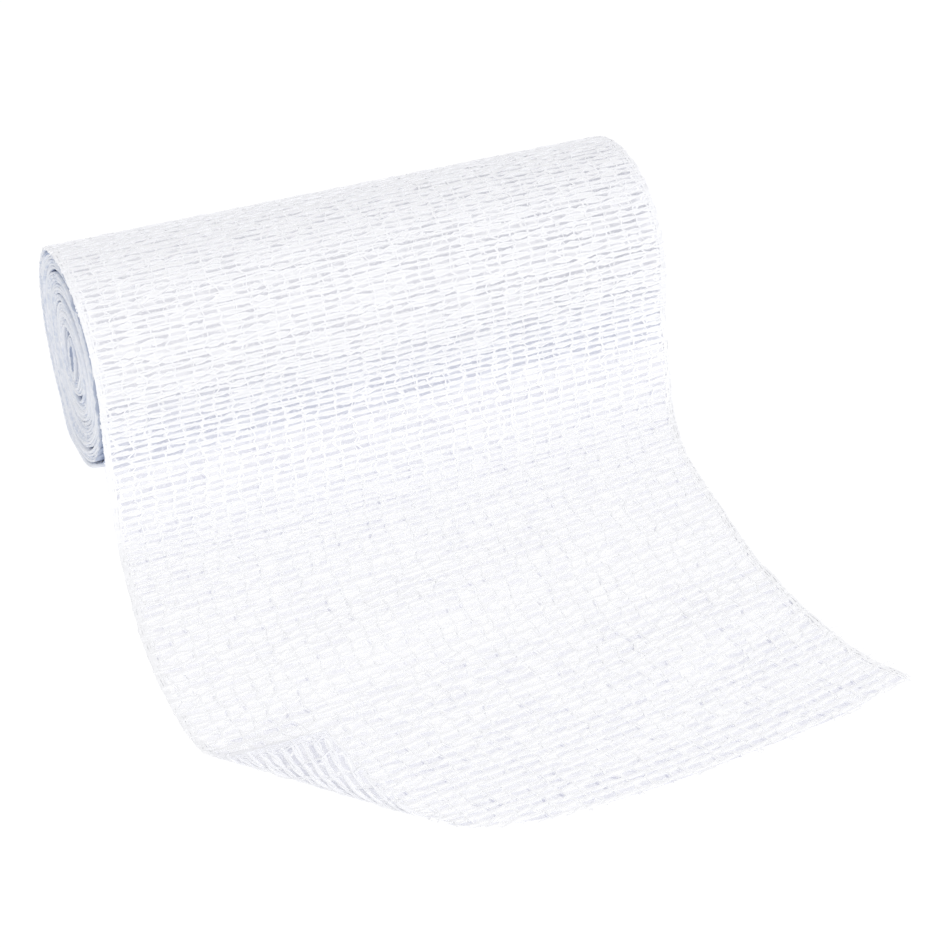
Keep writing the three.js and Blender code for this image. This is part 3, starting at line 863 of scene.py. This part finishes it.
share, count, height, thick = lengthwise(loose_rng, places, WARP_SPLIT, 0.4, LOOSE_WARP_RADIUS)
along = tilted(np.interp(count, np.arange(len(places)), places), share)
ends = from_table(CUT_END, "across", "along", share[:, :1]) + loose_rng.uniform(-0.4, 0.3, (len(share), 1))
kept = cut_back(share, along, np.broadcast_to(ends, along.shape))
share, along, height, thick = (taken(grid, kept) for grid in (share, along, height, thick))
normals = loose_normals(along, share)
thick = thick * uneven_radius(loose_rng, thick.shape, 1, 0.12) * np.where(along < AS_ON_ROLL_TO, 0.8, 1)
points = loose_surface(along, share) + normals * height[:, :, None]
points[:, :, 2] = np.maximum(points[:, :, 2], thick + 0.02)
loose_warps = yarn_mesh("loose_warps", points, normals, thick, 3, stretch_cloth)

haze_cloth, tree, shader = cloth_material("fibre_haze", YARN_WHITE, 0.95)
weave = woven(tree, 0.17, 0.04)
haze_column, haze_count, _ = parts_of(tree, weave_place(tree))
past_roll = maths(tree, "SUBTRACT", haze_count, float(np.searchsorted(places, 0)))
over_roll = between(tree, past_roll, *LEAVES_ROLL, 1.0, 0.0)
drawn_out = maths(
    tree,
    "MULTIPLY",
    between(tree, past_roll, DRAWN_OUT[0], DRAWN_OUT[0] + DRAWN_OVER),
    between(tree, past_roll, DRAWN_OUT[1] - DRAWN_OVER, DRAWN_OUT[1], 1.0, 0.0),
)
# The cells' colour is painted shade, which changes with their place on the cloth and on the roll.
cells = {part: mixed(tree, weave["Cell"], *ends) for part, ends in HAZE_COLOURS.items()}
open_colour = mixed(tree, drawn_out, cells["open"], cells["drawn out"])
open_colour = mixed(tree, on_turned_corner(tree), open_colour, cells["turned up"])
to_right = between(tree, haze_column, *RIGHT_PART, 0.0, 0.8)
close_colour = mixed(tree, to_right, cells["on the roll"], cells["on its right"])
close_colour = mixed(tree, between(tree, past_roll, *SHADED), close_colour, cells["at its foot"])
cell_colour = mixed(tree, over_roll, open_colour, close_colour)
from_edge = maths(tree, "PINGPONG", haze_column, WARP_COLUMNS / 2)
at_selvedge = between(tree, from_edge, *SELVEDGE_COLUMNS)
dense = maths(tree, "MAXIMUM", weave["Yarn"], at_selvedge)
tree.links.new(mixed(tree, dense, cell_colour, YARN_WHITE), shader.inputs["Base Color"])
cell_cover = between(tree, over_roll, 0.0, 1.0, 0.5, 0.92)
cover = maths(tree, "MAXIMUM", cell_cover, maths(tree, "MULTIPLY", weave["Yarn"], 0.85))
tree.links.new(maths(tree, "MAXIMUM", cover, at_selvedge), shader.inputs["Alpha"])

film_rows = 2 * len(places)
film_share, film_row = np.meshgrid(weft_shares, np.linspace(0, 1, film_rows))
film_cut = from_table(CUT_END, "across", "along", film_share) - FILM_HEM
film_count = np.empty_like(film_share)
film_along = np.empty_like(film_share)
for column, share_here in enumerate(weft_shares):
    threads = tilted(places, share_here)
    threads[0] = loose_start
    reach = np.interp(film_cut[0, column], threads, np.arange(len(places)))
    film_count[:, column] = film_row[:, column] * reach
    film_along[:, column] = np.interp(film_count[:, column], np.arange(len(places)), threads)
rows, columns = grid_corners(film_rows, len(weft_shares))
film_loops = (rows * len(weft_shares) + columns).reshape(-1, 4)[:, ::-1].ravel()
film_places = np.stack([film_share.ravel() * WARP_COLUMNS, film_count.ravel()], axis=-1)[film_loops]
film_points = loose_surface(film_along, film_share)
haze = mesh_piece("loose_haze", film_points, film_loops, film_places, haze_cloth)
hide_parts("loose_end")


# Fine fibres that stand off the cotton threads all over, where the spinning has let them go.
# They soften every outline of the gauze and lie across its cells.
FUZZ_COUNT_LOOSE, FUZZ_COUNT_TURN, FUZZ_RADIUS = 4600, 2100, 0.017
FRAY_COUNT, FRAY_FROM, FRAY_RADIUS = 90, 62, 0.06

fibre_cloth, tree, shader = cloth_material("loose_fibre", YARN_WHITE, 0.9)
fibre_patch = noise(tree, weave_place(tree), 3.0)
fibre_colour = mixed(tree, between(tree, fibre_patch, 0.3, 0.7), CELL_WHITE, (0.98, 0.98, 0.985))
tree.links.new(fibre_colour, shader.inputs["Base Color"])


def fibre_paths(rng, roots, normals, reach):
    """Short curved fibres from their roots, each leaning its own way, four points each."""
    count = len(roots)
    lean = rng.normal(0, 1, (count, 3))
    lean /= np.linalg.norm(lean, axis=1, keepdims=True)
    lift = rng.uniform(0.05, 0.5, (count, 1))
    heading = lean * (1 - lift) + normals * lift
    heading /= np.linalg.norm(heading, axis=1, keepdims=True)
    curl = rng.normal(0, 0.45, (count, 3))
    length = np.minimum(rng.exponential(reach, (count, 1)) + 0.3, 1.8)
    steps = np.linspace(0, 1, 4)[None, :, None]
    return roots[:, None] + length[:, None] * (heading[:, None] * steps + curl[:, None] * steps**2 * 0.6)


def fuzz(name, rng, roots, normals):
    """One joined mesh of fine fibres."""
    paths = fibre_paths(rng, roots, normals, 0.5)
    paths[:, :, 2] = np.maximum(paths[:, :, 2], 2 * FUZZ_RADIUS)
    taper = FUZZ_RADIUS * np.array([1.2, 1.0, 0.8, 0.5])[None, :] * rng.uniform(0.7, 1.4, (len(roots), 1))
    upward = np.broadcast_to(normals[:, None], paths.shape)
    return yarn_mesh(name, paths, upward, taper, 3, fibre_cloth)


fuzz_rng = np.random.default_rng(41)
share = fuzz_rng.uniform(0, 1, FUZZ_COUNT_LOOSE)
along = fuzz_rng.uniform(loose_start, from_table(CUT_END, "across", "along", share) - 0.3)
roots = loose_surface(along, share)
loose_fuzz = fuzz("loose_fuzz", fuzz_rng, roots, loose_normals(along, share))
angle = fuzz_rng.uniform(PARTING_ANGLE + 2, PARTING_ANGLE + 210, FUZZ_COUNT_TURN)
x = fuzz_rng.uniform(-1, 1, FUZZ_COUNT_TURN) * (ROLL_HALF_LENGTH - TURN_SET_BACK)
roots = round_roll(x, angle, wound_radius(angle) - CLOTH_HALF, 0.3)
fuzz("turn_fuzz", fuzz_rng, roots, outward(angle))

# Broken thread ends that stick out along the right edge, more of them towards the frayed tip.
fray_rng = np.random.default_rng(42)
along = FRAY_FROM + (CUT_END["along"][-1] - FRAY_FROM) * fray_rng.uniform(0, 1, FRAY_COUNT) ** 0.5
share = fray_rng.uniform(0.97, 1.0, FRAY_COUNT)
fray_length = fray_rng.uniform(1.0, 3.4, (FRAY_COUNT, 1))
fray_aside = fray_rng.normal(0.1, 0.3, FRAY_COUNT)
fray_heading = np.stack([np.ones(FRAY_COUNT), fray_aside, np.zeros(FRAY_COUNT)], axis=-1)
fray_curl = fray_rng.normal(0, 0.25, (FRAY_COUNT, 3)) * (1, 1, 0.3)
fray_steps = np.linspace(0, 1, 6)[None, :, None]
fray_paths = loose_surface(along, share)[:, None] + fray_length[:, None] * (
    fray_heading[:, None] * fray_steps + fray_curl[:, None] * fray_steps**2
)
fray_paths[:, :, 2] = np.clip(fray_paths[:, :, 2], FRAY_RADIUS + 0.02, 1.2)
fray_thick = FRAY_RADIUS * np.linspace(1.2, 0.5, 6)[None, :] * fray_rng.uniform(0.6, 1.3, (FRAY_COUNT, 1))
upward = np.zeros((FRAY_COUNT, 6, 3)) + (0, 0, 1)
loose_fray = yarn_mesh("loose_fray", fray_paths, upward, fray_thick, 3, fibre_cloth)


# The view, the surface and the light. The surface is white and lit from below, and soft light comes from all
# round and from a broad lamp in front. The surface and the lamp are in metres.
FOCAL_PIXELS, PICTURE_PIXELS, SENSOR_WIDTH = 2200, 948, 36
CAMERA_PLACE, CAMERA_FORWARD = (-113.9, -307.7, 208.1), (0.3336, 0.7516, -0.569)
SURFACE_SIZE, SURFACE_GREY, SURFACE_GLOW = 6, (0.3, 0.3, 0.302), 0.77
LAMP_PLACE, LAMP_AIM, LAMP_SIZE, LAMP_WATTS = (-0.05, -0.8, 0.84), (0, -0.03, 0), 0.8, 4.9
ROUND_COLOUR, ROUND_STRENGTH = (0.98, 0.98, 1, 1), 0.71

camera = bpy.data.objects.new("camera", bpy.data.cameras.new("camera"))
camera.data.sensor_width = SENSOR_WIDTH
camera.data.lens = SENSOR_WIDTH * FOCAL_PIXELS / PICTURE_PIXELS
camera.data.clip_start = 0.01
camera.location = Vector(CAMERA_PLACE) * MILLIMETRE
camera.rotation_euler = Vector(CAMERA_FORWARD).to_track_quat("-Z", "Y").to_euler()
bpy.context.collection.objects.link(camera)
bpy.context.scene.camera = camera

bpy.ops.object.select_all(action="DESELECT")
bpy.ops.mesh.primitive_plane_add(size=SURFACE_SIZE, location=(0, 0, 0))
surface = bpy.context.object
surface.name = "surface"
surface_material, tree, shader = cloth_material("white_surface", SURFACE_GREY, 0.7)
shader.inputs["Emission Color"].default_value = (1, 1, 1, 1)
shader.inputs["Emission Strength"].default_value = SURFACE_GLOW
surface.data.materials.append(surface_material)

lamp = bpy.data.objects.new("key", bpy.data.lights.new("key", "AREA"))
lamp.data.size = LAMP_SIZE
lamp.data.energy = LAMP_WATTS
lamp.location = LAMP_PLACE
lamp.rotation_euler = (Vector(LAMP_AIM) - Vector(LAMP_PLACE)).to_track_quat("-Z", "Y").to_euler()
bpy.context.collection.objects.link(lamp)

world = bpy.data.worlds.new("world")
world.use_nodes = True
background = world.node_tree.nodes["Background"].inputs
background["Color"].default_value = ROUND_COLOUR
background["Strength"].default_value = ROUND_STRENGTH
bpy.context.scene.world = world
bpy.context.scene.view_settings.view_transform = "Standard"
# White cotton passes light on from thread to thread many times.
bpy.context.scene.cycles.diffuse_bounces = 10
